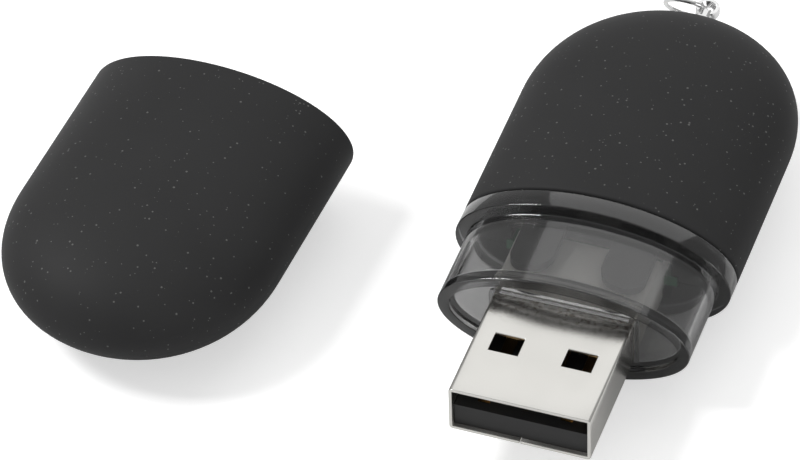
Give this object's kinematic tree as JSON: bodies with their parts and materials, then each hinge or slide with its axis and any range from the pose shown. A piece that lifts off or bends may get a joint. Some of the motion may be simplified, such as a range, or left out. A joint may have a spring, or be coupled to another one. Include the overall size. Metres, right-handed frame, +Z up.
{
  "type": "usb flash drive",
  "caption": "Capped USB-A flash drive with a rounded matte black shell, clear smoke front housing, metal plug, lanyard ring and loose pull-off cap.",
  "frame": {"origin": "centre of the USB plug's mouth, on the drive's long axis", "axes": "+X across the width, +Y from the plug's mouth to the tail, +Z up; -Y points out of the plug"},
  "size_m": [0.0597, 0.0551, 0.012],
  "materials": {
    "soft_touch_black": "soft-touch rubber-like paint on moulded ABS",
    "smoke_clear": "polished, see-through smoke grey polycarbonate",
    "black_moulding": "fine moulded texture",
    "nickel_steel": "bright nickel-plated stamped sheet",
    "gold_contact": "gold-flashed copper strip",
    "green_board": "green solder mask on fibreglass",
    "chip_black": "moulded epoxy",
    "tin": "tin-plated",
    "tan_ceramic": "fired ceramic with tinned ends",
    "led_clear": "clear resin on a white base",
    "polished_steel": "polished plated steel"
  },
  "bodies": {
    "drive": {"rear_shell": "soft_touch_black", "neck_housing": "smoke_clear", "carrier_top": "black_moulding", "carrier_bottom": "black_moulding", "plug_shell": "nickel_steel", "plug_insulator": "black_moulding", "contact_vbus": "gold_contact", "contact_dminus": "gold_contact", "contact_dplus": "gold_contact", "contact_gnd": "gold_contact", "circuit_board": "green_board", "flash_chip": "chip_black", "flash_leads": "tin", "controller_chip": "chip_black", "controller_leads": "tin", "crystal_base": "tan_ceramic", "crystal_lid": "tin", "voltage_regulator": "chip_black", "activity_led": "led_clear", "capacitors": "tan_ceramic", "resistors": "chip_black", "lanyard_post": "polished_steel", "post_clip": "polished_steel"},
    "cap": {"cap_shell": "soft_touch_black"},
    "ring": {"lanyard_ring": "polished_steel"}
  },
  "joints": [
    {"name": "cap_pull", "type": "slide", "parent": "drive", "child": "cap", "axis": [-0.061, -0.9981, 0], "range_m": [0, 0.027]},
    {"name": "ring_swing", "type": "hinge", "parent": "drive", "child": "ring", "pos_m": [0, 0.0518, 0], "axis": [0, 0, 1], "range_deg": [-200, 5]}
  ]
}
